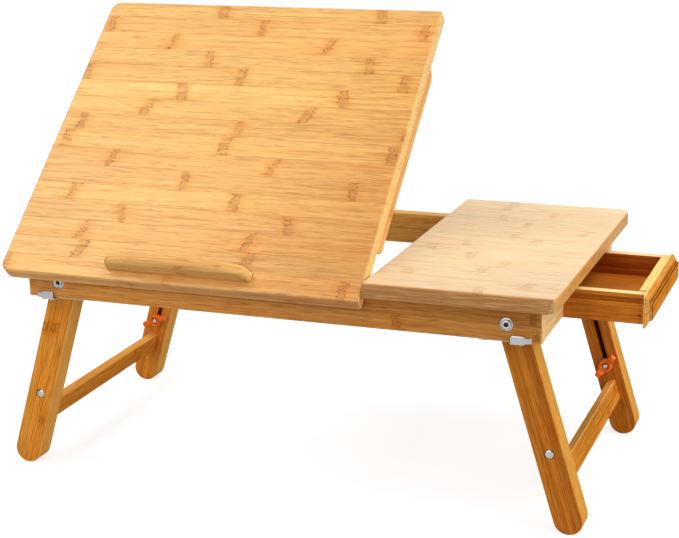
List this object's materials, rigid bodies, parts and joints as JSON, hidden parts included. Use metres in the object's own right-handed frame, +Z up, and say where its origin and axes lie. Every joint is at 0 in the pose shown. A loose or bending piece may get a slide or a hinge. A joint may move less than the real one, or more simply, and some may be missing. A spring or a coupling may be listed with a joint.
{
  "type": "laptop stand with drawer",
  "caption": "Bamboo bed-desk laptop stand: tilting top with stop ledge, fixed side top over a sliding drawer, folding legs with sliding feet.",
  "frame": {"origin": "bottom centre of the box round the stand as it stands, top raised and drawer part open", "axes": "+X towards the drawer's side, +Y from the front rail to the back rail, +Z up"},
  "size_m": [0.6352, 0.3594, 0.4454],
  "materials": {
    "frame_bamboo": "satin lacquer",
    "top_bamboo": "satin lacquer",
    "drawer_bamboo": "satin lacquer",
    "leg_bamboo": "satin lacquer",
    "orange_plastic": "moulded",
    "spring_steel": "bright nickel",
    "nickel_bolts": "bright nickel",
    "zinc_steel": "zinc plated"
  },
  "bodies": {
    "frame": {"front_rail": "frame_bamboo", "back_rail": "frame_bamboo", "left_end_rail": "frame_bamboo", "end_block_front": "frame_bamboo", "end_block_rear": "frame_bamboo", "divider": "frame_bamboo", "drawer_guide_front": "frame_bamboo", "drawer_guide_rear": "frame_bamboo", "drawer_runners": "frame_bamboo", "side_top": "top_bamboo", "hinge_lower_leaves": "zinc_steel", "hinge_pins": "zinc_steel", "prop_rod": "zinc_steel", "leg_pivot_bolts": "nickel_bolts", "leg_pivot_nuts": "zinc_steel", "catch_screws": "zinc_steel"},
    "tilting_top": {"tilt_top": "top_bamboo", "batten_left": "top_bamboo", "batten_right": "top_bamboo", "stop_ledge": "top_bamboo", "hinge_upper_leaves": "zinc_steel"},
    "prop": {"prop_arm_left": "top_bamboo", "prop_arm_right": "top_bamboo", "prop_bar": "zinc_steel", "prop_slat": "top_bamboo"},
    "drawer": {"drawer_front": "drawer_bamboo", "drawer_side_front": "drawer_bamboo", "drawer_side_rear": "drawer_bamboo", "drawer_back": "drawer_bamboo", "drawer_bottom": "drawer_bamboo"},
    "left_leg": {"left_pivot_slat_front": "leg_bamboo", "left_pivot_slat_rear": "leg_bamboo", "left_clamp_bolts": "nickel_bolts", "left_washers": "zinc_steel"},
    "left_foot": {"left_sliding_slat_front": "leg_bamboo", "left_sliding_slat_rear": "leg_bamboo", "left_stretcher": "leg_bamboo"},
    "left_wing_nut_front": {"left_wing_nut_front": "orange_plastic"},
    "left_wing_nut_rear": {"left_wing_nut_rear": "orange_plastic"},
    "left_catch": {"left_catch": "spring_steel"},
    "right_leg": {"right_pivot_slat_front": "leg_bamboo", "right_pivot_slat_rear": "leg_bamboo", "right_clamp_bolts": "nickel_bolts", "right_washers": "zinc_steel"},
    "right_foot": {"right_sliding_slat_front": "leg_bamboo", "right_sliding_slat_rear": "leg_bamboo", "right_stretcher": "leg_bamboo"},
    "right_wing_nut_front": {"right_wing_nut_front": "orange_plastic"},
    "right_wing_nut_rear": {"right_wing_nut_rear": "orange_plastic"},
    "right_catch": {"right_catch": "spring_steel"}
  },
  "joints": [
    {"name": "top_tilt", "type": "hinge", "parent": "frame", "child": "tilting_top", "pos_m": [-0.25822, -0.15084, 0.21768], "axis": [1, 0, 0], "range_deg": [-41.2, 0]},
    {"name": "prop_swing", "type": "hinge", "parent": "frame", "child": "prop", "pos_m": [-0.25822, -0.05354, 0.19618], "axis": [1, 0, 0], "range_deg": [-82.4, 0]},
    {"name": "drawer_slide", "type": "slide", "parent": "frame", "child": "drawer", "axis": [1, 0, 0], "range_m": [-0.074, 0.04]},
    {"name": "left_leg_fold", "type": "hinge", "parent": "frame", "child": "left_leg", "pos_m": [-0.24722, 0.00466, 0.20068], "axis": [0, -1, 0], "range_deg": [0, 98]},
    {"name": "left_foot_slide", "type": "slide", "parent": "left_leg", "child": "left_foot", "axis": [0.289, 0, 0.9573], "range_m": [-0.08, 0]},
    {"name": "left_wing_nut_front_turn", "type": "hinge", "parent": "left_leg", "child": "left_wing_nut_front", "pos_m": [-0.28479, -0.11034, 0.07623], "axis": [0, 1, 0], "continuous": true},
    {"name": "left_wing_nut_rear_turn", "type": "hinge", "parent": "left_leg", "child": "left_wing_nut_rear", "pos_m": [-0.28479, 0.11966, 0.07623], "axis": [0, -1, 0], "continuous": true},
    {"name": "left_catch_flex", "type": "hinge", "parent": "frame", "child": "left_catch", "pos_m": [-0.22622, -0.14784, 0.18438], "axis": [0, 0, 1], "range_deg": [0, 6], "stiffness_Nm_per_rad": 0.3},
    {"name": "right_leg_fold", "type": "hinge", "parent": "frame", "child": "right_leg", "pos_m": [0.20278, 0.00466, 0.20068], "axis": [0, 1, 0], "range_deg": [0, 98]},
    {"name": "right_foot_slide", "type": "slide", "parent": "right_leg", "child": "right_foot", "axis": [-0.289, 0, 0.9573], "range_m": [-0.08, 0]},
    {"name": "right_wing_nut_front_turn", "type": "hinge", "parent": "right_leg", "child": "right_wing_nut_front", "pos_m": [0.24036, -0.11034, 0.07623], "axis": [0, 1, 0], "continuous": true},
    {"name": "right_wing_nut_rear_turn", "type": "hinge", "parent": "right_leg", "child": "right_wing_nut_rear", "pos_m": [0.24036, 0.11966, 0.07623], "axis": [0, -1, 0], "continuous": true},
    {"name": "right_catch_flex", "type": "hinge", "parent": "frame", "child": "right_catch", "pos_m": [0.18178, -0.14784, 0.18438], "axis": [0, 0, -1], "range_deg": [0, 6], "stiffness_Nm_per_rad": 0.3}
  ],
  "couplings": [
    {"joint": "prop_swing", "follows": "top_tilt", "ratio": 2}
  ]
}
